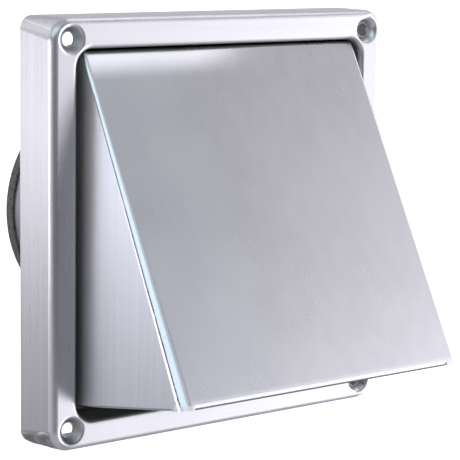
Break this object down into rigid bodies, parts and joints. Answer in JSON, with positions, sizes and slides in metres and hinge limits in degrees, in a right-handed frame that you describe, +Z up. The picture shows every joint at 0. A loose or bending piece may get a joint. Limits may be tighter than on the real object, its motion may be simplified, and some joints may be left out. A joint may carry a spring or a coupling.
{
  "type": "hooded wall vent with gravity flap",
  "caption": "Square stainless wall vent with a sloping hood over a recess, a round duct spigot with a foam band, and a hinged gravity flap that closes the duct's mouth.",
  "frame": {"origin": "where the axis of the spigot crosses the plane of the wall", "axes": "+Y into the wall along the spigot, -Y out to the front, +Z up, +X to the right seen from the front"},
  "size_m": [0.1668, 0.1484, 0.1669],
  "materials": {
    "frame_steel": "brushed satin stainless sheet",
    "hood_steel": "brushed satin stainless sheet",
    "spigot_steel": "mill-finish stainless tube",
    "foam": "dark closed-cell foam",
    "flap_sheet": "mill-finish aluminium sheet",
    "hinge_steel": "plain stainless",
    "clip_steel": "spring steel",
    "rivet_metal": "plain aluminium rivets"
  },
  "bodies": {
    "housing": {"face_frame": "frame_steel", "hood": "hood_steel", "spigot": "spigot_steel", "duct_seal": "foam", "flap_seal": "foam", "hinge_bracket": "hinge_steel", "hinge_pin": "hinge_steel", "pin_clip": "clip_steel", "hood_rivets": "rivet_metal", "bracket_rivets": "rivet_metal"},
    "flap": {"flap": "flap_sheet"}
  },
  "joints": [
    {"name": "flap_swing", "type": "hinge", "parent": "housing", "child": "flap", "pos_m": [0, -0.00907, 0.061], "axis": [-1, 0, 0], "range_deg": [0, 32]}
  ]
}
